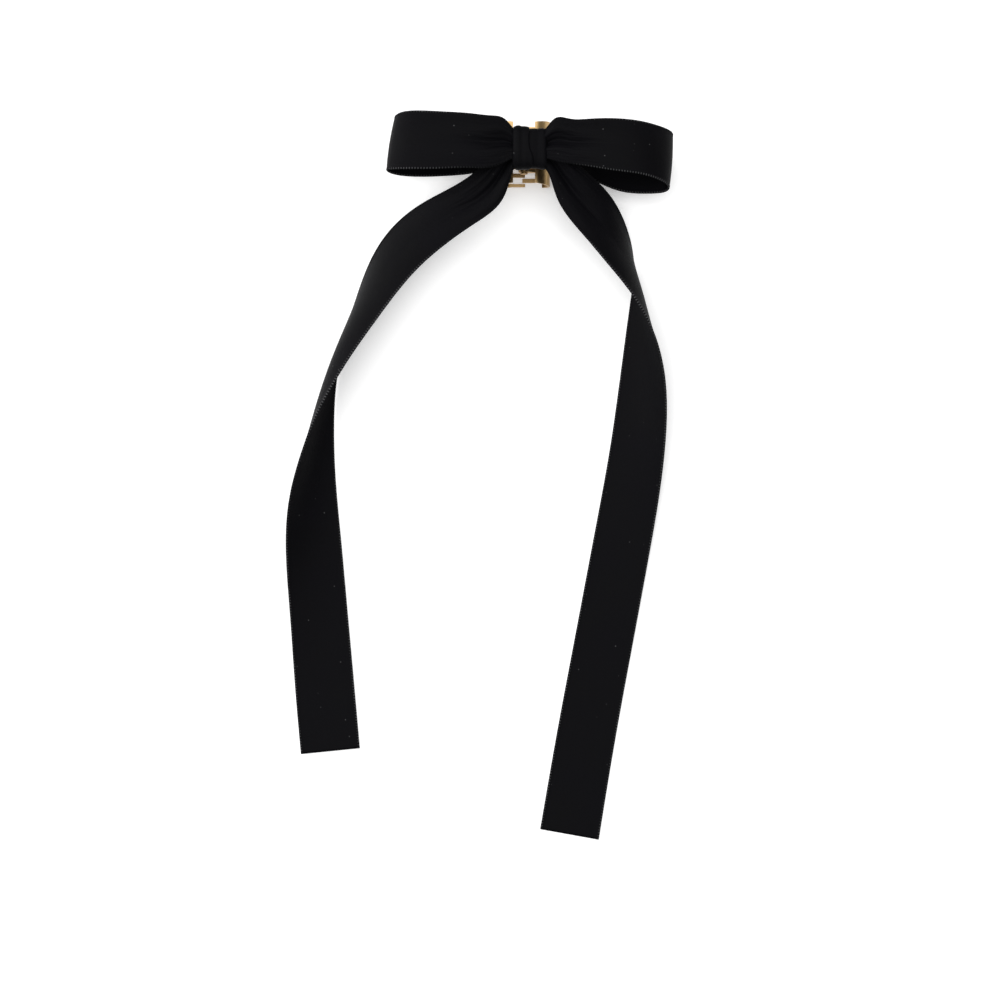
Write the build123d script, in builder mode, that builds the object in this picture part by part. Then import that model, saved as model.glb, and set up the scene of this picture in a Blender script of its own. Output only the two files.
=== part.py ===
"""Hair bow: a black satin bow with two long tails, on a small spring claw clip.

Millimetres. The bow lies on its back on Z = 0, as on a table. +Z points out of the front of the
bow, +Y from the tails up to the loops, along the hinge pin, and the origin is the middle of the
closed claw's mouth, between the tooth tips.
"""

import os
from math import cos, radians, sin

from build123d import *

os.makedirs("parts", exist_ok=True)

# ---------------------------------------------------------------- driving dimensions
RIBBON = 0.5  # ribbon thickness, as a plain solid
RUN_REACH = 0.2  # share of a step, ahead and behind, that sets the run at a section
TABLE = RIBBON / 2  # height of the ribbon's middle surface where it lies flat

PIN_Z = 8.5  # height of the hinge pin
PIN_R = 0.6
PIN_FIT = 0.05  # radial running clearance of the jaws on the pin
PIN_HALF = 6.2  # from the middle of the pin to each head
HEAD_R = 1.1
HEAD_T = 0.4

SHEET = 0.7  # sheet metal of the jaws
JAW_ROOT = (3.3, 8.6)  # where jaw and thumb tab meet, X and Z
JAW_CURVE = [JAW_ROOT, (6.1, 7.2), (7.5, 4.6), (6.2, 1.7), (3.2, 0.55), (-0.4, 0.5)]  # down to the tooth tips
JAW_PAST = 1.5  # how far the jaw's outline runs past the middle, beyond the tooth tips
JAW_HALF_TOP = 9.1  # half length of a jaw beside the hinge
JAW_HALF_OUT = 9.7  # half length of a jaw at its widest
JAW_OUT = 7.9  # how far a jaw reaches from the hinge plane
EAR_R = 1.7
EAR_SHEET = 0.7
EARS = (-5.7, 4.6)  # middle of each ear of the right jaw, along the pin
EAR_CORNER = (4.9, 7.6)  # where an ear meets the jaw's back, X and Z
TOOTH_PITCH = 3.2
TOOTH_GAP = 2.0
TEETH = 5
TOOTH_LENGTH = 4
TOOTH_TOP = 2.1  # height of the gaps between the teeth
TAB_TIP = (6.0, 11.5)
TAB_HALF = 4.6
TAB_ROUND = 1.4

COIL_R = 1.2  # mean radius of the spring's coil
WIRE_R = 0.22
COIL_LENGTH = 2.6
COIL_TURNS = 5
LEG_ANGLE = 40  # slope of the spring's two legs
LEG = 4.35
GLUE_BACK = PIN_Z + COIL_R + WIRE_R + 0.1  # height of the glue's back, just clear of the coil

KNOT_LEFT = -3.4
KNOT_RIGHT = 6.4
KNOT_TOP = 5.7
KNOT_BOTTOM_LEFT = -6.2
KNOT_BOTTOM_RIGHT = -7.2
KNOT_BACK = 14.5
KNOT_FRONT = 20.9
KNOT_ROUND = 2  # radius of the knot's corners, seen from the side
WRAP = 0.8  # thickness of the wrapped layers
KNOT_MIDDLE = (KNOT_LEFT + KNOT_RIGHT) / 2

BACK_LAYERS = (16.0, 16.8)  # heights of the ribbon layers inside the knot
TAIL_LAYER = 18.05
FRONT_LAYER = 19.3
PINCH_TOP = 4.1  # edges of the pinched ribbons inside the knot
PINCH_BOTTOM = -5.0

THREAD_R = 0.15
THREAD_STEP = 0.36  # between the gathering thread's turns
THREAD_SLACK = 0.05  # between the gathered ribbons and the thread
THREAD_ROUND = 0.5
GLUE_AT_SPRING = (3.4, 5)
GLUE_AT_KNOT = (4, 5.2)
GLUE_ROUND = 0.8
STITCH_R = 0.18
STITCH_HALF = 0.9  # half width of a stitch round the pin
STITCHES = (3.0, 3.45, 3.9)  # places of the stitches, each side of the spring

# ---------------------------------------------------------------- routes of the two ribbons
# Matching points on the two selvedges, one pair to a line. The ribbon is straight between a pair.
LOOP_PAIRS = [
    # through the back of the knot, from right to left
    ((6.0, PINCH_TOP, BACK_LAYERS[0]), (6.0, PINCH_BOTTOM, BACK_LAYERS[0])),
    ((1.5, PINCH_TOP, BACK_LAYERS[0]), (1.5, PINCH_BOTTOM, BACK_LAYERS[0])),
    ((-3.2, PINCH_TOP, BACK_LAYERS[0]), (-3.2, PINCH_BOTTOM, BACK_LAYERS[0])),
    # the back of the left loop, out to its end
    ((-9, 6.5, 15), (-9, -6, 14.3)),
    ((-16, 9, 12), (-16, -7, 11.4)),
    ((-25.5, 9.8, 9.4), (-27, -7.3, 8.6)),
    ((-33.5, 10.3, 9), (-35, -7.3, 8.8)),
    ((-37.6, 10.6, 11), (-39.8, -6.9, 11)),
    ((-38.4, 10.6, 14.2), (-41, -6.5, 14.4)),
    ((-36.8, 10.4, 17.6), (-39.3, -6.8, 17.8)),
    # the front of the left loop, back to the knot
    ((-32.4, 10.1, 19.8), (-34.7, -7.1, 20)),
    ((-24, 9.6, 20.7), (-25.5, -7.2, 20.9)),
    ((-15, 9, 20.7), (-15.7, -6.8, 20.5)),
    ((-8.8, 7.9, 20.1), (-9.2, -6.1, 19.8)),
    ((-3.2, PINCH_TOP, FRONT_LAYER), (-3.2, PINCH_BOTTOM, FRONT_LAYER)),
    ((1.5, PINCH_TOP, FRONT_LAYER), (1.5, PINCH_BOTTOM, FRONT_LAYER)),
    ((6.2, PINCH_TOP, FRONT_LAYER), (6.2, PINCH_BOTTOM, FRONT_LAYER)),
    # the front of the right loop, out to its end
    ((11, 7.6, 20.1), (11.5, -5.2, 19.9)),
    ((18, 7.7, 20.9), (18.5, -6.4, 20.8)),
    ((26, 7.6, 21), (26, -7.7, 21.2)),
    ((34, 7, 20), (33.5, -8.6, 20.6)),
    ((41, 5.8, 16.6), (39.8, -10, 18.2)),
    ((44.4, 4.8, 12), (43, -11.5, 14.4)),
    # the back of the right loop, back to the knot
    ((43, 4, 8.4), (42.4, -12.3, 10.6)),
    ((37.5, 3.8, 7.2), (37.5, -12.4, 8.4)),
    ((30, 4.8, 7.6), (30, -11.9, 7.8)),
    ((22.5, 6.2, 9), (22.5, -9.4, 9.2)),
    ((16, 6.8, 11.6), (16.5, -6.9, 11.8)),
    ((10.5, 5.8, 15), (11, -5.7, 14.9)),
    ((6.2, PINCH_TOP, BACK_LAYERS[1]), (6.2, PINCH_BOTTOM, BACK_LAYERS[1])),
    ((1.5, PINCH_TOP, BACK_LAYERS[1]), (1.5, PINCH_BOTTOM, BACK_LAYERS[1])),
    ((-2.6, PINCH_TOP, BACK_LAYERS[1]), (-2.6, PINCH_BOTTOM, BACK_LAYERS[1])),
]

LEFT_TAIL_PAIRS = [
    # cut end, inner selvedge first while the tail lies on the table
    ((-49.8, -179.5, TABLE), (-67.7, -181.3, TABLE)),
    ((-51.7, -158, TABLE), (-69.5, -159.5, 1)),
    ((-53.6, -137, TABLE), (-70.7, -138.5, 3.2)),
    ((-55.5, -116, TABLE), (-71.3, -117.5, 6.6)),
    ((-57, -100, TABLE), (-69.8, -101.5, 10)),
    ((-57.6, -88, TABLE), (-65.8, -89, 12.6)),
    # the half twist, standing on one selvedge
    ((-57.6, -78, TABLE), (-61.4, -78.5, 14.6)),
    ((-57, -68.5, TABLE), (-56.2, -69.5, 15.8)),
    ((-55.4, -59.5, TABLE), (-51.4, -61.7, 15.8)),
    ((-53.2, -50.7, TABLE), (-46.4, -54.6, 15.6)),
    ((-50.4, -41.7, 0.4), (-41.7, -48, 15.2)),
    ((-47.2, -32.8, 1.4), (-36.6, -41.2, 14.8)),
    # up to the knot
    ((-42, -24.2, 3.6), (-30.4, -34.2, 14)),
    ((-34.2, -17.4, 7.6), (-22.6, -27.7, 13.8)),
    ((-25, -12.8, 11.6), (-14, -21.8, 14)),
    ((-15.8, -8.2, 14.2), (-6.8, -16.2, 14.4)),
    ((-9.6, -2.4, 16.5), (-4.8, -9.7, 16)),
    ((-6, 1, 17.6), (-4.4, -6, 17.3)),
    ((-2.8, PINCH_TOP - 1, TAIL_LAYER), (-2.8, PINCH_BOTTOM + 0.6, TAIL_LAYER)),
]
KNOT_TAIL_PAIRS = [
    ((1.5, PINCH_TOP, TAIL_LAYER), (1.5, PINCH_BOTTOM, TAIL_LAYER)),
]
RIGHT_TAIL_PAIRS = [
    ((5.8, PINCH_TOP - 1, TAIL_LAYER), (5.8, PINCH_BOTTOM + 0.2, TAIL_LAYER)),
    # down from the knot
    ((8.8, 1, 17.7), (7, -6.2, 17.4)),
    ((12.4, -2, 17), (8, -9.8, 16)),
    ((18.6, -7.2, 15.2), (9.6, -14.8, 14.7)),
    ((25, -12.7, 11.3), (13.3, -20.8, 14.5)),
    ((29.6, -20, 6), (18.9, -27, 14.8)),
    # the half twist
    ((32.6, -28.2, 1.8), (24.3, -33.6, 15.4)),
    ((33.2, -36.8, 0.4), (29.6, -40.2, 16)),
    ((32.2, -45.5, TABLE), (34.6, -47.4, 16)),
    ((31, -54, TABLE), (38.6, -55, 14.8)),
    ((29.8, -63, TABLE), (41.5, -64.4, 12.6)),
    ((28.4, -73.5, TABLE), (42.7, -75.2, 10)),
    ((26.6, -86, TABLE), (42.4, -88, 7)),
    # down onto the table
    ((24, -101, TABLE), (40.8, -103.5, 3.8)),
    ((20.6, -119, TABLE), (38, -122, 1.6)),
    ((15.4, -146.6, TABLE), (33, -150, TABLE)),
]
TAIL_PAIRS = LEFT_TAIL_PAIRS + KNOT_TAIL_PAIRS + RIGHT_TAIL_PAIRS

# the right tail's last stretch lies flat on the table, down to the cut end
FLAT_END_PAIRS = [
    RIGHT_TAIL_PAIRS[-1],
    ((10.6, -172, TABLE), (28.3, -175.2, TABLE)),
    ((5, -204.1, TABLE), (22.8, -207.3, TABLE)),
]


def ribbon_sections(pairs):
    """Thin sections along the ribbon, square to its run, at the pairs and midway between them."""
    steps = [i / (len(pairs) - 1) for i in range(len(pairs))]
    selvedges = [
        Edge.make_spline([Vector(*pair[side]) for pair in pairs], parameters=steps) for side in (0, 1)
    ]

    def across(place):
        points = [edge.position_at(place, position_mode=PositionMode.PARAMETER) for edge in selvedges]
        return [Vector(point.X, point.Y, max(point.Z, TABLE)) for point in points]

    count = (len(pairs) - 1) * 2
    sections = []
    for i in range(count + 1):
        first, second = across(i / count)
        behind = across(max(i - RUN_REACH, 0) / count)
        ahead = across(min(i + RUN_REACH, count) / count)
        width = second - first
        run = ahead[0] + ahead[1] - behind[0] - behind[1]
        if i in (0, count):
            run = Vector(run.X, run.Y, 0)  # both ends are upright
        square_run = run - width * (run.dot(width) / width.dot(width))
        with BuildSketch(Plane(origin=(first + second) / 2, x_dir=width, z_dir=square_run)) as section:
            Rectangle(width.length, RIBBON)
        sections.append(section.sketch.face())
    return sections


# ---------------------------------------------------------------- the bow
with BuildPart() as loop_ribbon:
    loft(ribbon_sections(LOOP_PAIRS), ruled=True)

with BuildPart() as tail_ribbon:
    loft(ribbon_sections(TAIL_PAIRS), ruled=True)
    with BuildSketch(Plane.XY.offset(TABLE - RIBBON / 2)):
        with BuildLine():
            edges = [Spline(*[pair[side][:2] for pair in FLAT_END_PAIRS]) for side in (0, 1)]
            Line(edges[0] @ 0, edges[1] @ 0)
            Line(edges[0] @ 1, edges[1] @ 1)
        make_face()
    extrude(amount=RIBBON)


def knot_section(x, bottom, wall):
    """Rounded outline of the knot's wrap at one side, set in by a wall thickness."""
    height = KNOT_TOP - bottom
    depth = KNOT_FRONT - KNOT_BACK
    middle = Plane(
        origin=(x, (KNOT_TOP + bottom) / 2, (KNOT_FRONT + KNOT_BACK) / 2),
        x_dir=(0, 1, 0),
        z_dir=(1, 0, 0),
    )
    with BuildSketch(middle) as outline:
        RectangleRounded(height - 2 * wall, depth - 2 * wall, KNOT_ROUND - wall)
    return outline.sketch


with BuildPart() as knot_wrap:
    for wall, mode in ((0, Mode.ADD), (WRAP, Mode.SUBTRACT)):
        left_end = knot_section(KNOT_LEFT, KNOT_BOTTOM_LEFT, wall)
        right_end = knot_section(KNOT_RIGHT, KNOT_BOTTOM_RIGHT, wall)
        loft([left_end.face(), right_end.face()], mode=mode)

with BuildPart() as gathering_thread:
    width = PINCH_TOP - PINCH_BOTTOM + 2 * THREAD_SLACK
    depth = FRONT_LAYER - BACK_LAYERS[0] + RIBBON + 2 * THREAD_SLACK
    for turn in (-1, 0, 1):
        ring = Plane(origin=(KNOT_MIDDLE + THREAD_STEP * turn, 0, 0), x_dir=(0, 1, 0), z_dir=(1, 0, 0))
        with BuildSketch(ring):
            with Locations(((PINCH_TOP + PINCH_BOTTOM) / 2, (BACK_LAYERS[0] + FRONT_LAYER) / 2)):
                RectangleRounded(width + 4 * THREAD_R, depth + 4 * THREAD_R, THREAD_ROUND)
                Rectangle(width, depth, mode=Mode.SUBTRACT)
        extrude(amount=THREAD_R, both=True)

# ---------------------------------------------------------------- what ties the knot to the hinge
with BuildPart() as glue_pad:
    with BuildSketch(Plane.XY.offset(GLUE_BACK)):
        RectangleRounded(*GLUE_AT_SPRING, GLUE_ROUND)
    with BuildSketch(Plane.XY.offset(KNOT_BACK)):
        RectangleRounded(*GLUE_AT_KNOT, GLUE_ROUND)
    loft()

with BuildPart() as binding_thread:
    for place in STITCHES:
        for side in (-1, 1):
            with BuildLine() as stitch:
                left = Line((-STITCH_HALF, side * place, KNOT_BACK), (-STITCH_HALF, side * place, PIN_Z))
                under = ThreePointArc(
                    left @ 1, (0, side * place, PIN_Z - STITCH_HALF), (STITCH_HALF, side * place, PIN_Z)
                )
                Line(under @ 1, (STITCH_HALF, side * place, KNOT_BACK))
            with BuildSketch(Plane(origin=left @ 0, z_dir=left % 0)):
                Circle(STITCH_R)
            sweep()

# ---------------------------------------------------------------- the claw clip
with BuildPart() as jaw_right:
    # curved jaw, bent from sheet
    with BuildSketch(Plane.XZ):
        with BuildLine():
            Spline(*JAW_CURVE)
        trace(line_width=SHEET)
    extrude(amount=JAW_HALF_OUT, both=True)
    # its outline from the front, flared towards its widest line
    with BuildSketch(Plane.XY):
        with BuildLine():
            Polyline(
                (-JAW_PAST, -JAW_HALF_TOP),
                (JAW_ROOT[0], -JAW_HALF_TOP),
                (JAW_OUT, -JAW_HALF_OUT),
                (JAW_OUT, JAW_HALF_OUT),
                (JAW_ROOT[0], JAW_HALF_TOP),
                (-JAW_PAST, JAW_HALF_TOP),
                close=True,
            )
        make_face()
    extrude(amount=PIN_Z + EAR_R, mode=Mode.INTERSECT)
    # gaps that leave the teeth
    first = -(TEETH - 1) / 2 * TOOTH_PITCH - TOOTH_PITCH / 4
    with BuildSketch(Plane.XY.offset(-SHEET)):
        for i in range(TEETH + 1):
            with Locations((TOOTH_LENGTH / 2, first + TOOTH_PITCH * (i - 0.5))):
                Rectangle(TOOTH_LENGTH + 2 * JAW_PAST, TOOTH_GAP)
    extrude(amount=TOOTH_TOP + SHEET, mode=Mode.SUBTRACT)
    # thumb tab
    slope = Vector(TAB_TIP[0] - JAW_ROOT[0], 0, TAB_TIP[1] - JAW_ROOT[1])
    tab_plane = Plane(
        origin=((TAB_TIP[0] + JAW_ROOT[0]) / 2, 0, (TAB_TIP[1] + JAW_ROOT[1]) / 2),
        x_dir=slope,
        z_dir=slope.cross(Vector(0, 1, 0)),
    )
    with BuildSketch(tab_plane) as tab:
        Rectangle(slope.length, 2 * TAB_HALF)
        fillet(tab.vertices().group_by(Axis.X)[-1], TAB_ROUND)
    extrude(amount=SHEET / 2, both=True)
    # ears, folded in from both ends of the jaw and bored for the pin
    for place in EARS:
        with BuildSketch(Plane.XZ.offset(-place)):
            with Locations((0, PIN_Z)):
                Circle(EAR_R)
            with BuildLine():
                Polyline(
                    (0, PIN_Z - EAR_R),
                    EAR_CORNER,
                    (JAW_ROOT[0] + SHEET / 4, JAW_ROOT[1]),
                    (0, PIN_Z + EAR_R),
                    close=True,
                )
            make_face()
            with Locations((0, PIN_Z)):
                Circle(PIN_R + PIN_FIT, mode=Mode.SUBTRACT)
        extrude(amount=EAR_SHEET / 2, both=True)

# the left jaw is the same stamping, turned round, so that ears and teeth pass each other
with BuildPart() as jaw_left:
    add(jaw_right.part.rotate(Axis.Z, 180))

with BuildPart() as hinge_pin:
    with BuildSketch(Plane(origin=(0, -PIN_HALF, PIN_Z), z_dir=(0, 1, 0))):
        Circle(PIN_R)
    extrude(amount=2 * PIN_HALF)
    for side in (-1, 1):
        with BuildSketch(Plane(origin=(0, side * PIN_HALF, PIN_Z), z_dir=(0, side, 0))):
            Circle(HEAD_R)
        extrude(amount=HEAD_T)

start = radians(LEG_ANGLE - 90)
turns = COIL_TURNS + 2 * LEG_ANGLE / 360
coil_plane = Plane(
    origin=(0, -COIL_LENGTH / 2, PIN_Z),
    x_dir=(cos(start), 0, sin(start)),
    z_dir=(0, 1, 0),
)
coil = coil_plane.from_local_coords(Edge.make_helix(COIL_LENGTH / turns, COIL_LENGTH, COIL_R))
with BuildPart() as torsion_spring:
    with BuildSketch(Plane(origin=coil @ 0, z_dir=coil % 0)):
        Circle(WIRE_R)
    sweep(path=coil, is_frenet=True)
    for end, way in ((0, -1), (1, 1)):
        with BuildSketch(Plane(origin=coil @ end, z_dir=(coil % end) * way)):
            Circle(WIRE_R)
        extrude(amount=LEG)

# ---------------------------------------------------------------- write each piece
PIECES = {
    "loop_ribbon": loop_ribbon,
    "tail_ribbon": tail_ribbon,
    "knot_wrap": knot_wrap,
    "gathering_thread": gathering_thread,
    "glue_pad": glue_pad,
    "binding_thread": binding_thread,
    "jaw_left": jaw_left,
    "jaw_right": jaw_right,
    "hinge_pin": hinge_pin,
    "torsion_spring": torsion_spring,
}
for name, piece in PIECES.items():
    piece.part.label = name
    export_step(piece.part, f"parts/{name}.step")
    print(name, round(piece.part.volume, 2), "mm3")
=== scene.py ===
"""Looks of the hair bow: satin ribbons, thread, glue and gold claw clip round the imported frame.

Shapes are worked out in millimetres in the frame's axes and made in metres.
"""

import math

import bpy
import numpy as np
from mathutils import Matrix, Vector


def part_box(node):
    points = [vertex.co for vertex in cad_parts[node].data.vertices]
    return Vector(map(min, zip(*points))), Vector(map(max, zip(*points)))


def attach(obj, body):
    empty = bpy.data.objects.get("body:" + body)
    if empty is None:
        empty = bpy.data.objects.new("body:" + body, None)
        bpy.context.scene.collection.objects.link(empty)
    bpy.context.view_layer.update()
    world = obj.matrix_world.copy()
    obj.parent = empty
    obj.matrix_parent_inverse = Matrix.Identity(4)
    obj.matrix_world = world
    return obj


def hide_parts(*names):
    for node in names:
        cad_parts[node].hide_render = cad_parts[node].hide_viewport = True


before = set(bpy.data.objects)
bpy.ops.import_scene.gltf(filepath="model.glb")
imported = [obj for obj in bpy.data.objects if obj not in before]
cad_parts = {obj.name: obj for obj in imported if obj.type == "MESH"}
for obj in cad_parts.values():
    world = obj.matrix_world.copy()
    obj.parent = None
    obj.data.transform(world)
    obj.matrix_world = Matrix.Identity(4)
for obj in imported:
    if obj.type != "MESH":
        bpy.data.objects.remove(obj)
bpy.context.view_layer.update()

MM = 0.001

# ---------------------------------------------------------------- sizes
# the satin ribbon, in millimetres
RIBBON_WIDTH = 18.0
RIBBON = 0.32  # thickness of the satin
SELVEDGE = 0.46  # thickness of the woven edge
SELVEDGE_BAND = 0.7  # width of the woven edge
EDGE_ROUND = 0.22  # width of the rounding at the very edge
EDGE_LEAST = 0.12  # where the rounding starts, as a share of its width
TABLE = 0.3  # height of the middle of a ribbon that lies flat

# its weave and its woven edge's tiny loops, in millimetres
WEFT_PITCH, WARP_PITCH = 0.16, 0.11
PICOT_PITCH = 0.85
PICOT_BAND = (0.62, 0.42)  # distances from the edge where the loops begin, and where they are full

# its mesh: rows along it and columns across it, in millimetres
ROW = 0.8
EDGE_COLUMNS = (0, 0.12, 0.3, 0.5, 0.75)  # distances from the very edge
BODY_COLUMNS, BODY_MARGIN = 31, 1.1  # the even columns, and where they start
LOOP_SMOOTHING, TAIL_SMOOTHING = 2, 5  # rows over which each ribbon's curves are evened out

# Pleats across a ribbon: height, place and reach of each ridge and valley. Heights are in
# millimetres where the pleats are 1 deep, the rest are shares of the ribbon's width.
LOOP_PLEATS = ((0.75, 0.24, 0.16), (0.55, 0.74, 0.15), (-0.55, 0.5, 0.13), (-0.6, 0.49, 0.05))
TAIL_PLEATS = ((0.6, 0.25, 0.15), (0.6, 0.84, 0.12), (-0.6, 0.56, 0.14), (-0.4, 0.55, 0.06))
TUCKED_PLEAT = 1.0  # pleats this deep hide the woven edge and crease the satin
FINE_FROM = 0.7  # pleats deeper than this have fine tucks in them
FINE_HEIGHT, FINE_COUNT, FINE_SHIFT = 0.45, 4.5, 0.8

# the knot, in millimetres
KNOT_LEFT, KNOT_RIGHT = -3.4, 6.4
KNOT_TOP, KNOT_BOTTOM_LEFT, KNOT_BOTTOM_RIGHT = 5.7, -6.7, -7.5
KNOT_BACK, KNOT_FRONT = 14.5, 20.9
# power of a sine or cosine for the knot's rounded corners, and what it grows by at the bottom
KNOT_POWER, KNOT_POWER_LOW = 0.5, 0.32

# the knot's wrap
WRAP_ROWS = 144  # mesh rows round the knot
WRAP_INSET = 0.25  # from the knot's size to the middle of the top layer, in millimetres
WRAP_FOLD = 0.46  # share of the band's width where the left layer ends, lying over the right one
WRAP_LEAN = 0.21  # how far the fold leans to the right at the bottom, as a share of the width
WRAP_LEAN_FROM, WRAP_LEAN_OVER = 0.35, 1.3  # height where it starts, and drop over which it grows
WRAP_TUCKS = ((0.3, 0.15, 0.09), (0.1, 0.36, 0.06), (-0.12, 0.74, 0.07))  # like the pleats above
WRAP_RIPPLE = 0.06  # height of a slow ripple round the knot, in millimetres
WRAP_WEAVE = (17.0, 2.5)  # where the wrap starts in the weave, clear of the woven edge
# across the band: share of its width, and how far below the top layer, in millimetres
WRAP_PROFILE = np.array([
    (0.0, 1.1), (0.0, 0.75), (0.012, 0.35), (0.045, 0.1), (0.1, 0),
    *((place, 0) for place in np.linspace(0.15, WRAP_FOLD - 0.02, 9)),
    (WRAP_FOLD, 0.02), (WRAP_FOLD + 0.012, 0.14), (WRAP_FOLD + 0.012, 0.3), (WRAP_FOLD, 0.42),
    *((place, 0.5) for place in np.linspace(WRAP_FOLD + 0.03, 0.9, 10)),
    (0.955, 0.6), (0.988, 0.85), (1.0, 1.25), (1.0, 1.6),
])

# the clip's pin and spring, in millimetres
PIN_Z = 8.5
WIRE_R = 0.22
COIL_R = 1.2
COIL_LENGTH = 2.6
COIL_TURNS = 5
LEG = 4.3
LEG_ANGLE = math.radians(40)
LEG_TILT = 0.066  # slope of the coil's wire, which the legs go on with
LEG_OVERLAP = 0.1  # how far a leg reaches into the coil's end

# a tube's mesh: its sides, and its rounded end as each ring's size and how far out it is
TUBE_SIDES, THREAD_SIDES = 14, 12
TUBE_END = ((0.87, 0.5), (0.5, 0.87), (0.12, 1.0))
COIL_POINTS, LEG_POINTS = 220, 14  # points along each path
STITCH_POINTS, BEND_POINTS = 13, 15
GATHER_POINTS = 60  # for each turn

# threads, in millimetres
THREAD_R = 0.18
THREAD_LAY = 1.1  # length of one full twist
THREAD_PLIES = 3
PLY_DEPTH = 0.3  # depth between the plies, as a share of the radius
STITCHES = (3.0, 3.45, 3.9)  # places of the stitches along the pin, on each side of its middle
STITCH_HALF = 0.9  # half the distance between a stitch's two runs
STITCH_SWAY = 0.1  # how far the outer stitches start to one side
GATHER_R = 0.14
GATHER_TURNS = 3
GATHER_POWER = 0.3  # power of a sine or cosine for the turns' rounded corners

# the glue pad: its mesh, its rounded corners, and the depth, count and slant of its lumps
GLUE_RINGS, GLUE_SIDES = 23, 40
GLUE_POWER = 0.55
GLUE_LUMPS = ((0.05, 3, 2), (0.03, 5, -3))

# the camera, in millimetres
CAMERA_PLACE = (-7.2, -104.1, 550.0)
VIEW = 304.0  # width of the table that the camera sees

# floor and lights, in metres and watts
FLOOR_REACH = 12.0
FLOOR_DROP = 0.0001
SOFTBOXES = (
    ("overhead_softbox", (-0.15, 0.1, 1.5), 2.2, 31),
    ("left_softbox", (-1.3, 0.35, 0.55), 0.7, 12),
)
LIGHT_AIM = (0, -0.09, 0)
WORLD_LIGHT = 0.28
FLOOR_GLOW = 0.3

# ---------------------------------------------------------------- routes of the two ribbons
# One line for each place along a ribbon: the points on its two selvedges, how far its middle
# stands out between them, and how deep its pleats are there.
PINCH_TOP, PINCH_BACK, PINCH_FRONT = 4.1, -5.0, -3.8  # the pinched layers' edges inside the knot


def pinched(x, z, pleat, bottom=PINCH_BACK):
    return ((x, PINCH_TOP, z), (x, bottom, z), 0, pleat)


LOOPS = [
    # through the back of the knot, from right to left
    pinched(6, 16, 0.15),
    pinched(1.5, 16, 0.15),
    pinched(-3.2, 16, 0.3),
    # the back of the left loop, out to its end
    ((-9, 6.5, 15), (-9, -6, 14.3), 0.2, 1),
    ((-16, 9, 12), (-16, -7, 11.4), 0.6, 0.6),
    ((-25.5, 9.8, 9.4), (-27, -7.3, 8.6), 1, 0.1),
    ((-33.5, 10.3, 9), (-35, -7.3, 8.8), 0.8, 0),
    ((-37.6, 10, 11), (-39.8, -6.9, 11), 0.4, 0),
    ((-38.4, 9.4, 14.2), (-41, -6.5, 14.4), 0.3, 0),
    ((-37, 9.9, 17.6), (-39.3, -6.8, 17.8), 0.4, 0),
    # the front of the left loop, back to the knot
    ((-32.4, 10.1, 19.8), (-34.7, -7.1, 20), 0.6, 0),
    ((-24, 9.6, 20.6), (-25.5, -7.2, 20.8), 0.8, 0.1),
    ((-15, 9, 20.6), (-15.5, -6.9, 20.4), 0.7, 0.5),
    ((-9, 8.5, 20.1), (-9.6, -6.7, 19.7), 0.4, 1.1),
    ((-6.1, 8.3, 19.7), (-6.4, -5.4, 19.4), 0.1, 1.4),
    ((-4.6, 7, 19.4), (-4.7, -4.4, 19.2), 0, 1.3),
    pinched(-3.2, 19.2, 0.8, PINCH_FRONT),
    pinched(1.5, 19.2, 0.4, PINCH_FRONT),
    pinched(6.2, 19.2, 0.8, PINCH_FRONT),
    # the front of the right loop, out to its end
    ((7.5, 6.9, 19.4), (7.6, -4.3, 19.2), 0, 1.3),
    ((9, 8.5, 19.8), (9.4, -4.8, 19.4), 0.1, 1.4),
    ((12, 7.8, 20.1), (12.4, -5.4, 19.8), 0.4, 1.1),
    ((18, 7.4, 20.6), (18.5, -6.4, 20.6), 0.7, 0.5),
    ((26, 7.6, 20.8), (26, -7.7, 21), 0.8, 0.1),
    ((34, 7, 20), (33.5, -8.6, 20.6), 0.6, 0),
    ((41, 5.8, 16.6), (39.8, -10, 18.2), 0.4, 0),
    ((44.4, 4.8, 12), (43, -11.5, 14.4), 0.3, 0),
    # the back of the right loop, back to the knot
    ((43, 4, 8.4), (42.4, -12.3, 10.6), 0.4, 0),
    ((37.5, 3.8, 7.2), (37.5, -12.4, 8.4), 0.8, 0),
    ((30, 4.8, 7.6), (30, -11.9, 7.8), 1, 0.1),
    ((22.5, 6.2, 9), (22.5, -9.4, 9.2), 0.7, 0.5),
    ((16, 6.8, 11.6), (16.5, -6.9, 11.8), 0.3, 0.9),
    ((10.5, 5.8, 15), (11, -5.7, 14.9), 0.1, 0.7),
    pinched(6.2, 16.8, 0.3),
    pinched(1.5, 16.8, 0.15),
    pinched(-2.6, 16.8, 0.15),
]

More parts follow.
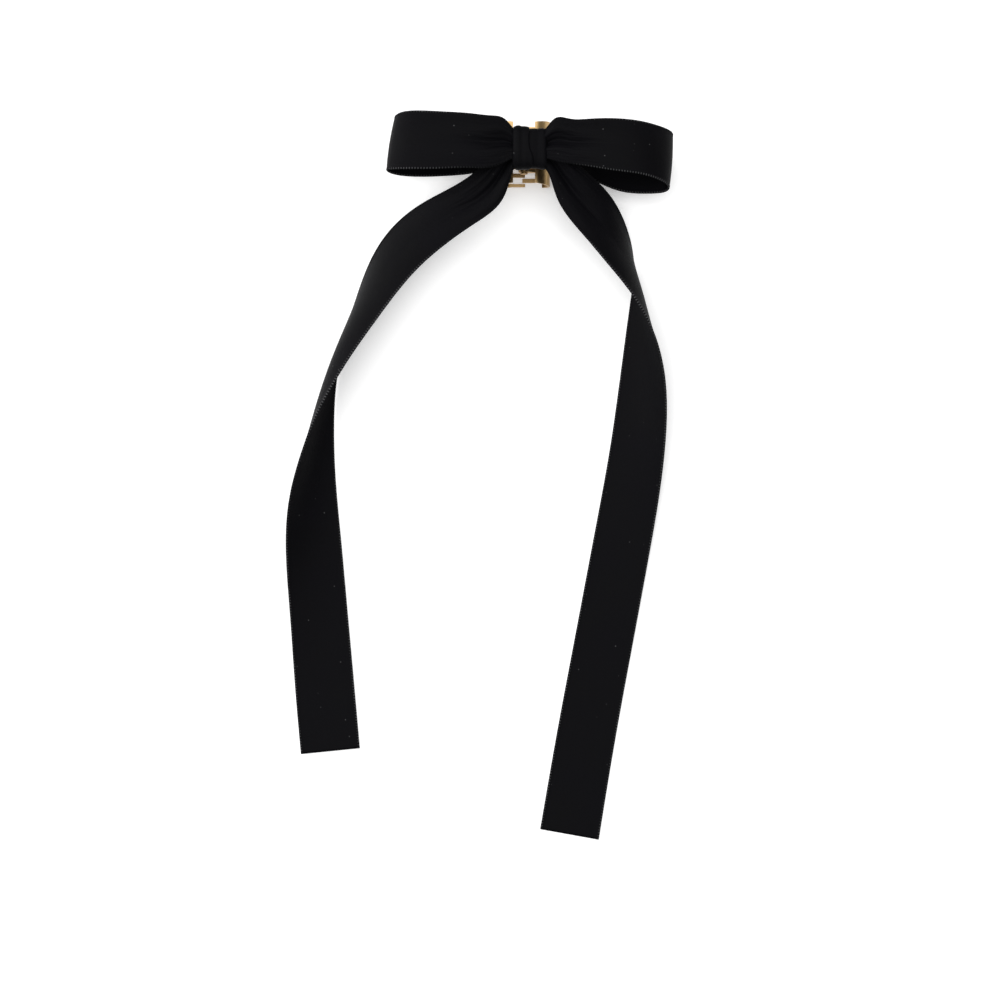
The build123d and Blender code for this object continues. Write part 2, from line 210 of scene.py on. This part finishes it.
TAILS = [
    # the left tail, from its cut end
    ((-49.8, -179.5, TABLE), (-67.7, -181.3, TABLE), 0, 0),
    ((-51.7, -158, TABLE), (-69.5, -159.5, 1), 0, 0),
    ((-53.6, -137, TABLE), (-70.7, -138.5, 3.2), 0.2, 0),
    ((-55.5, -116, TABLE), (-71.6, -117.5, 6.6), 0.8, 0),
    ((-57, -100, TABLE), (-69.8, -101.5, 10), 1.8, 0),
    ((-57.6, -88, TABLE), (-65.8, -89, 12.6), 2.6, 0),
    # its half twist, standing on one selvedge
    ((-57.6, -78, TABLE), (-61.4, -78.5, 14.6), 3.2, 0),
    ((-57, -68.5, TABLE), (-56.2, -69.5, 15.8), 3.4, 0),
    ((-55.4, -59.5, TABLE), (-51.4, -61.7, 15.8), 3.4, 0),
    ((-53.2, -50.7, TABLE), (-46.4, -54.6, 15.6), 3.2, 0),
    ((-50.4, -41.7, 0.4), (-41.7, -48, 15.2), 2.4, 0),
    ((-47.2, -32.8, 1.4), (-36.6, -41.2, 14.8), 1.6, 0),
    # up to the knot
    ((-42, -24.2, 3.6), (-30.4, -34.2, 14), 1, 0.1),
    ((-34.2, -17.4, 7.6), (-22.6, -27.7, 13.8), 0.9, 0.2),
    ((-25, -12.8, 11.6), (-14, -21.8, 14), 0.8, 0.6),
    ((-15.8, -8.2, 14.2), (-6.6, -16.4, 14.4), 0.4, 1.1),
    ((-9.6, -2.6, 16.4), (-4.2, -9.8, 16), 0.1, 1.4),
    ((-6, 1, 17.6), (-3.9, -6.2, 17.3), 0, 0.9),
    ((-2.8, 3.1, 18.05), (-2.8, -4.4, 18.05), 0, 0.3),
    # through the knot
    pinched(1.5, 18.05, 0.2),
    ((5.8, 3.1, 18.05), (5.8, -4.8, 18.05), 0, 0.3),
    # the right tail, down from the knot
    ((8.8, 1, 17.7), (7, -6.2, 17.4), 0, 0.7),
    ((12.4, -2, 17), (8, -9.8, 16), 0.2, 1.2),
    ((18.6, -7.2, 15.2), (9.4, -14.9, 14.6), 0.5, 1.1),
    ((25.4, -12.6, 11.2), (13.2, -20.9, 14.4), 0.7, 0.6),
    ((30.2, -20, 6), (18.8, -27.1, 14.4), 1, 0.2),
    # its half twist
    ((33, -28.2, 1.8), (24.2, -33.8, 15), 2, 0),
    ((33.4, -36.8, 0.4), (29.6, -40.2, 15.6), 3, 0),
    ((32.2, -45.5, TABLE), (34.6, -47.4, 15.6), 3.4, 0),
    ((31, -54, TABLE), (38.6, -55, 14.4), 2.8, 0),
    ((29.8, -63, TABLE), (41.5, -64.4, 12.2), 2.2, 0),
    ((28.4, -73.5, TABLE), (42.7, -75.2, 9.8), 1.6, 0),
    ((26.6, -86, TABLE), (42.4, -88, 7), 1, 0),
    # flat on the table, down to its cut end
    ((24, -101, TABLE), (40.8, -103.5, 3.8), 0.4, 0),
    ((20.6, -119, TABLE), (37.8, -122, 1.6), 0.2, 0),
    ((15.4, -146.6, TABLE), (32.7, -150, 0.6), 0.1, 0),
    ((10.6, -172, TABLE), (28.1, -175.2, TABLE), 0.1, 0),
    ((5, -204.1, TABLE), (22.8, -207.3, TABLE), 0, 0),
]


# ---------------------------------------------------------------- shaders
class Nodes:
    """Short calls for making a material's nodes."""

    def __init__(self, name):
        self.material = bpy.data.materials.new(name)
        self.material.use_nodes = True
        self.tree = self.material.node_tree
        self.shader = self.tree.nodes["Principled BSDF"]

    def add(self, kind, inputs=None, **settings):
        """New node with its settings, and its inputs linked or set."""
        node = self.tree.nodes.new(kind)
        for key, value in settings.items():
            setattr(node, key, value)
        for key, value in (inputs or {}).items():
            self.put(node, key, value)
        return node

    def put(self, node, key, value):
        if isinstance(value, bpy.types.NodeSocket):
            self.tree.links.new(value, node.inputs[key])
        else:
            node.inputs[key].default_value = value

    def place(self):
        """Place in the object, in metres."""
        return self.add("ShaderNodeTexCoord").outputs["Object"]

    def stretched(self, place, scale):
        return self.add("ShaderNodeMapping", {"Vector": place, "Scale": scale}).outputs[0]

    def math(self, operation, first, second=0.0):
        return self.add("ShaderNodeMath", {0: first, 1: second}, operation=operation).outputs[0]

    def waves(self, value, pitch):
        return self.math("SINE", self.math("MULTIPLY", value, 2 * math.pi / pitch))

    def ramp(self, value, low, high, out_low=0.0, out_high=1.0):
        """Smooth rise from out_low to out_high, as the value goes from low to high."""
        inputs = {"Value": value, "From Min": low, "From Max": high, "To Min": out_low, "To Max": out_high}
        return self.add("ShaderNodeMapRange", inputs, interpolation_type="SMOOTHSTEP").outputs["Result"]

    def noise(self, place, scale, detail, rough=0.5):
        inputs = {"Vector": place, "Scale": scale, "Detail": detail, "Roughness": rough}
        return self.add("ShaderNodeTexNoise", inputs).outputs["Fac"]

    def mix(self, factor, first, second):
        """Mix of two colours, on the Mix node's colour sockets."""
        return self.add("ShaderNodeMix", {0: factor, 6: first, 7: second}, data_type="RGBA").outputs[2]

    def bump(self, height, strength, distance, normal=None):
        inputs = {"Height": height, "Strength": strength, "Distance": distance}
        if normal is not None:
            inputs["Normal"] = normal
        return self.add("ShaderNodeBump", inputs).outputs["Normal"]

    def set(self, **values):
        """Link or set the shader's own sockets."""
        for key, value in values.items():
            self.put(self.shader, key.replace("_", " "), value)


def lint(nodes, uv):
    """A few tiny specks of dust: about one cell in six has one, and they differ in size and strength."""
    inputs = {"Vector": uv, "Scale": 0.22}
    cells = nodes.add("ShaderNodeTexVoronoi", inputs, voronoi_dimensions="2D").outputs
    chance, size, strength = nodes.add("ShaderNodeSeparateColor", {"Color": cells["Color"]}).outputs
    away = nodes.math("SUBTRACT", cells["Distance"], nodes.math("MULTIPLY", size, 0.03))
    there = nodes.math("GREATER_THAN", chance, 0.84)
    shade = nodes.math("MULTIPLY", there, nodes.ramp(strength, 0.0, 1.0, 0.25, 0.9))
    return nodes.math("MULTIPLY", shade, nodes.ramp(away, 0.03, 0.0))


def satin():
    """Black polyester satin: fine warp and weft, and woven edges with tiny loops that carry painted glints.
    """
    nodes = Nodes("black_satin")
    uv = nodes.add("ShaderNodeUVMap", uv_map="ribbon").outputs["UV"]  # in millimetres
    split = nodes.add("ShaderNodeSeparateXYZ", {"Vector": uv}).outputs
    along, across = split["X"], split["Y"]
    from_middle = nodes.math("ABSOLUTE", nodes.math("SUBTRACT", across, RIBBON_WIDTH / 2))
    edge = nodes.math("SUBTRACT", RIBBON_WIDTH / 2, from_middle)
    band = nodes.ramp(edge, SELVEDGE_BAND + 0.05, SELVEDGE_BAND - 0.15)
    loops = nodes.waves(along, PICOT_PITCH)
    cloud = nodes.noise(nodes.place(), 60, 3)
    grain = nodes.noise(uv, 6, 2)
    tucked = nodes.add("ShaderNodeAttribute", attribute_name="tucked").outputs["Fac"]

    # colour: the body, the woven edge, painted glints on the loops where the edge lies open, and lint
    rim = nodes.math("MULTIPLY", nodes.ramp(edge, *PICOT_BAND), nodes.math("SUBTRACT", 1.0, tucked))
    uneven = nodes.ramp(nodes.noise(uv, 0.09, 2), 0.3, 0.7, 0.35, 1.0)
    # painted highlight: light grey glints on the woven edge's loops, fading where deep pleats tuck the edge
    # away
    painted_loop_glints = nodes.math("MULTIPLY", nodes.math("MULTIPLY", rim, uneven), nodes.ramp(loops, 0.1, 0.7))
    body = nodes.mix(cloud, (0.0022, 0.0022, 0.0024, 1), (0.0028, 0.0026, 0.004, 1))
    edged = nodes.mix(nodes.math("MULTIPLY", band, 0.5), body, (0.003, 0.003, 0.0035, 1))
    with_loop_glints = nodes.mix(nodes.math("MULTIPLY", painted_loop_glints, 0.9), edged, (0.07, 0.07, 0.073, 1))
    dusty = nodes.mix(nodes.math("MULTIPLY", lint(nodes, uv), 0.35), with_loop_glints, (0.16, 0.16, 0.16, 1))

    # height: the weave, the edge's loops, and creases along the ribbon beside the knot
    weft = nodes.math("MULTIPLY", nodes.waves(along, WEFT_PITCH), 0.5)
    warp = nodes.math("MULTIPLY", nodes.waves(across, WARP_PITCH), 0.35)
    weave = nodes.math("ADD", nodes.math("ADD", weft, warp), nodes.math("MULTIPLY", grain, 1.4))
    woven = nodes.bump(weave, 0.25, 0.00004)
    looped = nodes.bump(nodes.math("MULTIPLY", band, nodes.math("ADD", loops, 1.0)), 0.6, 0.00012, woven)
    creases = nodes.math("MULTIPLY", nodes.noise(nodes.stretched(uv, (0.14, 1.0, 1.0)), 1.3, 3), tucked)
    nodes.set(Base_Color=dusty, Normal=nodes.bump(creases, 0.6, 0.0004, looped))
    nodes.set(Roughness=nodes.math("ADD", 0.44, nodes.math("MULTIPLY", nodes.math("ADD", cloud, band), 0.14)))
    nodes.set(Specular_IOR_Level=0.036)
    return nodes.material


def gold_plate(name, rough):
    """Gold plating painted darker than pale gold, as painted shade from the bow over the clip, with faint
    polishing marks and slightly redder spots.
    """
    nodes = Nodes(name)
    place = nodes.place()
    marks = nodes.noise(nodes.stretched(place, (900.0, 90.0, 900.0)), 2.2, 4, 0.6)
    # painted shade: both gold tones are darker than pale gold plate, standing in for the shade under the bow
    tone = nodes.mix(nodes.noise(place, 320, 3), (0.5, 0.345, 0.165, 1), (0.42, 0.275, 0.12, 1))
    nodes.set(Base_Color=tone, Metallic=1.0, Normal=nodes.bump(marks, 0.12, 0.00003))
    nodes.set(Roughness=nodes.math("ADD", rough, nodes.math("MULTIPLY", marks, 0.16)))
    return nodes.material


def thread():
    """Black sewing thread with fine fibres."""
    nodes = Nodes("black_thread")
    turned = nodes.add("ShaderNodeMapping", {"Vector": nodes.place(), "Rotation": (0.6, 0.5, 0.3)}).outputs[0]
    inputs = {"Vector": turned, "Scale": 1600.0, "Distortion": 0.6}
    fibres = nodes.add("ShaderNodeTexWave", inputs).outputs["Fac"]
    tone = nodes.mix(fibres, (0.004, 0.004, 0.005, 1), (0.02, 0.02, 0.022, 1))
    nodes.set(Base_Color=tone, Roughness=nodes.math("ADD", 0.6, nodes.math("MULTIPLY", fibres, 0.2)))
    nodes.set(Normal=nodes.bump(fibres, 0.7, 0.00006), Specular_IOR_Level=0.25)
    return nodes.material


def glue():
    """Set hot-melt glue: cloudy amber, wet-looking, with small bubbles."""
    nodes = Nodes("hot_glue")
    place = nodes.place()
    cloud = nodes.noise(place, 500, 3)
    bubbles = nodes.add("ShaderNodeTexVoronoi", {"Vector": place, "Scale": 900.0}).outputs["Distance"]
    tone = nodes.mix(cloud, (0.52, 0.42, 0.26, 1), (0.66, 0.58, 0.42, 1))
    nodes.set(Base_Color=tone, Roughness=nodes.math("ADD", 0.22, nodes.math("MULTIPLY", cloud, 0.15)))
    nodes.set(Normal=nodes.bump(nodes.math("ADD", cloud, nodes.ramp(bubbles, 0.0, 0.3)), 0.3, 0.0001))
    nodes.set(Subsurface_Weight=0.3, Subsurface_Scale=0.001)
    return nodes.material


def paper_white():
    """Plain pale floor with a little light of its own."""
    nodes = Nodes("pale_floor")
    grain = nodes.noise(nodes.place(), 900, 2)
    nodes.set(Base_Color=nodes.mix(grain, (0.9, 0.9, 0.9, 1), (0.93, 0.93, 0.93, 1)), Roughness=0.9)
    nodes.set(Specular_IOR_Level=0.1, Emission_Color=(1, 1, 1, 1), Emission_Strength=FLOOR_GLOW)
    return nodes.material


# ---------------------------------------------------------------- meshes
def finish_piece(name, points, faces, material, body, nodes, uvs=None, tucked=None):
    """A smooth mesh piece, given in millimetres, that rides on a body and stands for CAD nodes."""
    mesh = bpy.data.meshes.new(name)
    faces = [tuple(int(i) for i in face) for face in faces]
    mesh.from_pydata((np.asarray(points) * MM).tolist(), [], faces)
    if uvs is not None:
        layer = mesh.uv_layers.new(name="ribbon")
        corner = np.empty(len(mesh.loops), int)
        mesh.loops.foreach_get("vertex_index", corner)
        layer.data.foreach_set("uv", np.asarray(uvs, np.float32)[corner].ravel())
    if tucked is not None:
        attribute = mesh.attributes.new("tucked", "FLOAT", "POINT")
        attribute.data.foreach_set("value", np.asarray(tucked, np.float32))
    mesh.materials.append(material)
    mesh.shade_smooth()
    mesh.validate()
    piece = bpy.data.objects.new(name, mesh)
    bpy.context.scene.collection.objects.link(piece)
    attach(piece, body)
    if nodes:
        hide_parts(*nodes)
    return piece


def unit(vectors):
    return vectors / np.linalg.norm(vectors, axis=-1, keepdims=True)


def run_lengths(rows):
    """Distance to each point of a line, or to each row of a grid, as the mean of its columns."""
    steps = np.linalg.norm(np.diff(rows, axis=0), axis=-1)
    return np.concatenate([[0], np.cumsum(steps.reshape(len(steps), -1).mean(1))])


def squared(value, power):
    """A sine or cosine pushed outwards, which makes a rounded square of a circle."""
    return np.sign(value) * np.abs(value) ** power


def humps(shares, table):
    """Smooth ridges and valleys across a ribbon, from their heights, places and reaches."""
    return sum(height * np.exp(-(((shares - place) / reach) ** 2)) for height, place, reach in table)


def node_box(node):
    """Middle and half size of a CAD node, in millimetres."""
    low, high = (np.array(corner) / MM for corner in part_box(node))
    return (low + high) / 2, (high - low) / 2


def spline(points, places, wanted):
    """Natural cubic spline through points at the given places, read off at the wanted places."""
    points = np.asarray(points, float)
    gap = np.diff(places)
    count = len(places)
    system = np.eye(count)
    right = np.zeros(points.shape)
    for i in range(1, count - 1):
        system[i, i - 1 : i + 2] = gap[i - 1], 2 * (gap[i - 1] + gap[i]), gap[i]
        right[i] = 6 * ((points[i + 1] - points[i]) / gap[i] - (points[i] - points[i - 1]) / gap[i - 1])
    bend = np.linalg.solve(system, right)
    i = np.clip(np.searchsorted(places, wanted, side="right") - 1, 0, count - 2)
    h = gap[i][:, None]
    after = (wanted - places[i])[:, None]
    before = h - after
    cubic = (bend[i] * before**3 + bend[i + 1] * after**3) / (6 * h)
    line = (points[i] / h - bend[i] * h / 6) * before + (points[i + 1] / h - bend[i + 1] * h / 6) * after
    return cubic + line


def blur(values, rows):
    """Even out a curve's small unevenness along its rows; its ends stay."""
    reach = np.arange(-3 * rows, 3 * rows + 1)
    weight = np.exp(-((reach / rows) ** 2) / 2)
    weight /= weight.sum()
    before = 2 * values[0] - values[1 : 3 * rows + 1][::-1]
    after = 2 * values[-1] - values[-3 * rows - 1 : -1][::-1]
    padded = np.concatenate([before, values, after])
    return np.stack([np.convolve(padded[:, k], weight, "valid") for k in range(values.shape[1])], 1)


def thick_sheet(grid, thickness, ring=False):
    """Closed sheet round a grid of middle points. In a ring, the last row meets the first."""
    rows, cols = grid.shape[:2]
    if ring:
        along = np.gradient(np.concatenate([grid[-1:], grid, grid[:1]]), axis=0)[1:-1]
    else:
        along = np.gradient(grid, axis=0)
    normal = unit(np.cross(np.gradient(grid, axis=1), along))
    half = normal * np.broadcast_to(thickness / 2, cols)[:, None]
    points = np.concatenate([(grid + half).reshape(-1, 3), (grid - half).reshape(-1, 3)])
    upper = np.arange(rows * cols).reshape(rows, cols)
    if ring:
        upper = np.concatenate([upper, upper[:1]])
    lower = upper + rows * cols
    top = np.stack([upper[:-1, :-1], upper[:-1, 1:], upper[1:, 1:], upper[1:, :-1]], -1).reshape(-1, 4)
    under = np.stack([lower[:-1, :-1], lower[1:, :-1], lower[1:, 1:], lower[:-1, 1:]], -1).reshape(-1, 4)
    sides = [(upper[:, 0], lower[:, 0]), (lower[:, -1], upper[:, -1])]
    ends = [] if ring else [(lower[0], upper[0]), (upper[-1], lower[-1])]
    rims = [np.stack([a[:-1], a[1:], b[1:], b[:-1]], -1) for a, b in sides + ends]
    return points, np.concatenate([top, under, *rims])


def sheet_uvs(along, across):
    """Places in the weave for both sides of a sheet, in millimetres."""
    uvs = np.stack(np.meshgrid(along, across, indexing="ij"), -1).reshape(-1, 2)
    return np.concatenate([uvs, uvs])


# ---------------------------------------------------------------- the two ribbons
def across_columns():
    """Places across a ribbon from 0 to 1, closer together at its selvedges."""
    margin = np.array(EDGE_COLUMNS) / RIBBON_WIDTH
    start = BODY_MARGIN / RIBBON_WIDTH
    return np.concatenate([margin, np.linspace(start, 1 - start, BODY_COLUMNS), 1 - margin[::-1]])


def sheet_thickness(columns):
    """Thickness across a ribbon: thin satin, a thicker woven edge, rounded at the very edge."""
    edge = np.minimum(columns, 1 - columns) * RIBBON_WIDTH
    # the woven edge thins out over half its width
    inner = np.clip((edge - SELVEDGE_BAND * 0.8) / (SELVEDGE_BAND * 0.5), 0, 1)
    full = SELVEDGE + (RIBBON - SELVEDGE) * inner
    return full * np.sqrt(np.clip(edge / EDGE_ROUND, EDGE_LEAST, 1))


def ribbon_rows(route, smooth_rows):
    """Even rows along a route: the points on both selvedges, and the depths of arch and pleats."""
    first, second = (np.array([line[side] for line in route], float) for side in (0, 1))
    depths = np.array([line[2:] for line in route], float)
    places = run_lengths((first + second) / 2)
    wanted = np.linspace(0, places[-1], int(places[-1] / ROW) + 1)
    first, second = (blur(spline(edge, places, wanted), smooth_rows) for edge in (first, second))
    depths = np.stack([np.interp(wanted, places, depths[:, k]) for k in (0, 1)], 1)
    return first, second, blur(depths, smooth_rows + 2)


def ribbon_grid(first, second, depths, pleats):
    """Points across each row of a ribbon, arched and pleated between its selvedges."""
    columns = across_columns()
    width = second - first
    normal = unit(np.cross(width, np.gradient((first + second) / 2, axis=0)))
    flat = first[:, None] + width[:, None] * columns[None, :, None]
    arch, pleat = depths[:, :1], depths[:, 1:]
    out = arch * 4 * columns * (1 - columns) + pleat * humps(columns, pleats)
    fine = FINE_HEIGHT * np.sin(2 * math.pi * FINE_COUNT * columns + FINE_SHIFT) * np.sin(math.pi * columns)
    out += np.clip(pleat - FINE_FROM, 0, None) * fine
    return flat + normal[:, None] * out[..., None]


def ribbon_piece(name, route, pleats, smooth_rows, material, nodes):
    """One ribbon along its route, and the flat size that it was cut to, in metres."""
    first, second, depths = ribbon_rows(route, smooth_rows)
    grid = ribbon_grid(first, second, depths, pleats)
    columns = across_columns()
    points, faces = thick_sheet(grid, sheet_thickness(columns))
    length = run_lengths(grid)
    uvs = sheet_uvs(length, columns * RIBBON_WIDTH)
    row_tucked = np.clip(depths[:, 1] / TUCKED_PLEAT, 0, 1)
    tucked = np.tile(np.repeat(row_tucked, len(columns)), 2)
    piece = finish_piece(name, points, faces, material, "bow", nodes, uvs, tucked)
    return piece, (RIBBON_WIDTH * MM, float(length[-1]) * MM)


# ---------------------------------------------------------------- the knot's wrap
def wrap_row(angle):
    """Points across the band at an angle round the knot, from its top over its front."""
    up, front = math.cos(angle), math.sin(angle)
    share, depth = WRAP_PROFILE.T
    # on the front, the fold leans to the right towards the bottom
    low = np.clip((WRAP_LEAN_FROM - squared(up, KNOT_POWER)) / WRAP_LEAN_OVER, 0, 1)
    lean = WRAP_LEAN * max(front, 0) * low**2
    left_layer = share * (1 + lean / WRAP_FOLD)
    right_layer = 1 - (1 - share) * (1 - lean / (1 - WRAP_FOLD))
    share = np.where(share < WRAP_FOLD + 0.02, left_layer, right_layer)
    ripple = WRAP_RIPPLE * np.sin(2 * angle + 9 * share) * np.sin(math.pi * share)
    inset = depth + WRAP_INSET - (humps(share, WRAP_TUCKS) + ripple)
    bottom = KNOT_BOTTOM_LEFT + share * (KNOT_BOTTOM_RIGHT - KNOT_BOTTOM_LEFT)
    power = KNOT_POWER + KNOT_POWER_LOW * np.clip(-4 * up, 0, 1)
    x = KNOT_LEFT + share * (KNOT_RIGHT - KNOT_LEFT)
    y = (KNOT_TOP + bottom) / 2 + ((KNOT_TOP - bottom) / 2 - inset) * squared(up, power)
    z = (KNOT_FRONT + KNOT_BACK) / 2 + ((KNOT_FRONT - KNOT_BACK) / 2 - inset) * squared(front, power)
    return np.stack([x, y, z], 1)


def wrap_piece(material):
    """A folded ribbon wound once round the knot, and its flat size in metres."""
    around = np.linspace(0, 2 * math.pi, WRAP_ROWS, endpoint=False)
    grid = np.array([wrap_row(angle) for angle in around])
    points, faces = thick_sheet(grid, RIBBON, ring=True)
    along = run_lengths(grid[:, grid.shape[1] // 2])
    wide = run_lengths(grid[0])
    uvs = sheet_uvs(WRAP_WEAVE[0] + along, WRAP_WEAVE[1] + wide)
    piece = finish_piece("knot_wrap_cloth", points, faces, material, "bow", ["knot_wrap"], uvs)
    girth = 2 * along[-1] - along[-2]
    return piece, (float(wide[-1]) * MM, float(girth) * MM)


# ---------------------------------------------------------------- wire, thread and glue
def skin(rings):
    """Points and faces of a closed skin round rings of points, with a cap at each end."""
    count, sides = len(rings), len(rings[0])
    index = np.arange(count * sides).reshape(count, sides)
    beside = np.roll(index, -1, axis=1)
    walls = np.stack([index[:-1], beside[:-1], beside[1:], index[1:]], -1).reshape(-1, 4)
    return np.concatenate(rings), [*walls, index[0][::-1], index[-1]]


def tube(path, radius, sides=TUBE_SIDES, plies=0):
    """Round tube along a path of points, with rounded ends, or a thread twisted from plies."""
    path = np.asarray(path, float)
    run = unit(np.gradient(path, axis=0))
    side = unit(np.cross(run[0], (0.3, 0.2, 0.9)))  # no path starts along that direction
    turn = np.linspace(0, 2 * math.pi, sides, endpoint=False)
    rings = []
    for k, place in enumerate(run_lengths(path)):
        side = unit(side - run[k] * np.dot(side, run[k]))
        other = np.cross(run[k], side)
        twist = turn - 2 * math.pi * place / THREAD_LAY
        size = radius * (1 - PLY_DEPTH * (1 - np.abs(np.cos(plies / 2 * twist))))
        rings.append(path[k] + (size * np.cos(turn))[:, None] * side + (size * np.sin(turn))[:, None] * other)
    caps = []
    for end, way in ((0, -1), (-1, 1)):
        spokes = rings[end] - path[end]
        caps.append([path[end] + spokes * size + way * run[end] * radius * out for size, out in TUBE_END])
    return skin(caps[0][::-1] + rings + caps[1])


def joined(meshes):
    """Several sets of points and faces as one."""
    points, faces, count = [], [], 0
    for part_points, part_faces in meshes:
        points.append(part_points)
        faces += [tuple(i + count for i in face) for face in part_faces]
        count += len(part_points)
    return np.concatenate(points), faces


def stitch_path(place, sway):
    """Down from the knot, round under the pin and up again, at a place along the pin."""
    down = [(-STITCH_HALF + sway * (1 - s), place, KNOT_BACK + (PIN_Z - KNOT_BACK) * s)
            for s in np.linspace(0, 1, STITCH_POINTS, endpoint=False)]
    under = [(-STITCH_HALF * math.cos(a), place, PIN_Z - STITCH_HALF * math.sin(a))
             for a in np.linspace(0, math.pi, BEND_POINTS)]
    up = [(-x, y, z) for x, y, z in down[::-1]]
    return down + under + up


def thread_pieces(material):
    """Twisted threads: stitches from the knot round the pin, and the turns that gather the ribbons."""
    stitches = []
    for side in (-1, 1):
        for place, sway in zip(STITCHES, (-STITCH_SWAY, 0, STITCH_SWAY)):
            path = stitch_path(side * place, side * sway)
            stitches.append(tube(path, THREAD_R, THREAD_SIDES, THREAD_PLIES))
    points, faces = joined(stitches)
    finish_piece("binding_stitches", points, faces, material, "bow", ["binding_thread"])

    middle, half = node_box("gathering_thread")
    half = half - GATHER_R
    turn = np.linspace(0, 2 * math.pi * GATHER_TURNS, GATHER_POINTS * GATHER_TURNS)
    path = np.stack([
        middle[0] + half[0] * np.linspace(-1, 1, len(turn)),
        middle[1] + half[1] * squared(np.cos(turn), GATHER_POWER),
        middle[2] + half[2] * squared(np.sin(turn), GATHER_POWER),
    ], 1)
    points, faces = tube(path, GATHER_R, THREAD_SIDES, THREAD_PLIES)
    finish_piece("gathering_turns", points, faces, material, "bow", ["gathering_thread"])


def spring_pieces(material):
    """The coil rides with the bow; each leg follows the thumb tab that it presses."""
    turns = COIL_TURNS + LEG_ANGLE / math.pi
    share = np.linspace(0, 1, COIL_POINTS)[:, None]
    angle = LEG_ANGLE - math.pi / 2 - 2 * math.pi * turns * share
    coil = np.concatenate(
        [COIL_R * np.cos(angle), COIL_LENGTH * (share - 0.5), PIN_Z + COIL_R * np.sin(angle)], axis=1
    )
    points, faces = tube(coil, WIRE_R)
    finish_piece("spring_coil", points, faces, material, "bow", ["torsion_spring"])
    for side, body, end in ((1, "jaw_right", 0), (-1, "jaw_left", -1)):
        tip = np.array([side * math.cos(LEG_ANGLE), -side * LEG_TILT, math.sin(LEG_ANGLE)])
        leg = coil[end] + unit(tip) * np.linspace(-LEG_OVERLAP, LEG - LEG_OVERLAP, LEG_POINTS)[:, None]
        points, faces = tube(leg, WIRE_R)
        finish_piece("spring_leg_" + body[4:], points, faces, material, body, [])


def glue_piece(material):
    """A squeezed-out pad of glue with a soft, uneven outline."""
    middle, half = node_box("glue_pad")
    turn = np.linspace(0, 2 * math.pi, GLUE_SIDES, endpoint=False)
    rings = []
    for step in range(GLUE_RINGS):
        lift = math.pi * (step + 0.5) / GLUE_RINGS - math.pi / 2
        level = np.full(GLUE_SIDES, math.sin(lift))
        way = np.stack([math.cos(lift) * np.cos(turn), math.cos(lift) * np.sin(turn), level], 1)
        lumps = sum(depth * (1 + np.sin(count * turn + tilt * lift)) for depth, count, tilt in GLUE_LUMPS)
        rings.append(middle + half * squared(way, GLUE_POWER) * (1 - lumps)[:, None])
    points, faces = skin(rings)
    finish_piece("glue_blob", points, faces, material, "bow", ["glue_pad"])


def dress_nodes(nodes, material):
    """Give CAD nodes that stay a better material."""
    for node in nodes:
        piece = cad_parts[node]
        piece.data.materials.clear()
        piece.data.materials.append(material)


# ---------------------------------------------------------------- camera, light and floor
def add_camera():
    camera = bpy.data.objects.new("camera", bpy.data.cameras.new("camera"))
    camera.data.angle = 2 * math.atan(VIEW / 2 / CAMERA_PLACE[2])
    camera.location = [value * MM for value in CAMERA_PLACE]
    bpy.context.scene.collection.objects.link(camera)
    bpy.context.scene.camera = camera


def add_floor():
    floor = bpy.data.meshes.new("floor")
    square = ((-1, -1), (1, -1), (1, 1), (-1, 1))
    corners = [(x * FLOOR_REACH, y * FLOOR_REACH, -FLOOR_DROP) for x, y in square]
    floor.from_pydata(corners, [], [(0, 1, 2, 3)])
    floor.materials.append(paper_white())
    floor_piece = bpy.data.objects.new("floor", floor)
    bpy.context.scene.collection.objects.link(floor_piece)


def add_lights():
    """Two softboxes, and an even pale world."""
    for name, place, size, power in SOFTBOXES:
        lamp = bpy.data.lights.new(name, "AREA")
        lamp.shape = "SQUARE"
        lamp.size = size
        lamp.energy = power
        lamp_piece = bpy.data.objects.new(name, lamp)
        lamp_piece.location = place
        lamp_piece.rotation_mode = "QUATERNION"
        lamp_piece.rotation_quaternion = (Vector(LIGHT_AIM) - Vector(place)).to_track_quat("-Z", "Y")
        bpy.context.scene.collection.objects.link(lamp_piece)

    world = bpy.data.worlds.new("studio")
    world.use_nodes = True
    background = world.node_tree.nodes["Background"]
    background.inputs["Color"].default_value = (1, 1, 1, 1)
    background.inputs["Strength"].default_value = WORLD_LIGHT
    bpy.context.scene.world = world
    bpy.context.scene.view_settings.view_transform = "Standard"


# ---------------------------------------------------------------- making
add_camera()
add_floor()
add_lights()
black = satin()
loops, loops_flat = ribbon_piece("loops_cloth", LOOPS, LOOP_PLEATS, LOOP_SMOOTHING, black, ["loop_ribbon"])
tails, tails_flat = ribbon_piece("tails_cloth", TAILS, TAIL_PLEATS, TAIL_SMOOTHING, black, ["tail_ribbon"])
wrap, wrap_flat = wrap_piece(black)
spring_pieces(gold_plate("gold_wire_painted_shade", 0.24))
glue_piece(glue())
thread_pieces(thread())
dress_nodes(("jaw_left", "jaw_right", "hinge_pin"), gold_plate("gold_plate", 0.26))
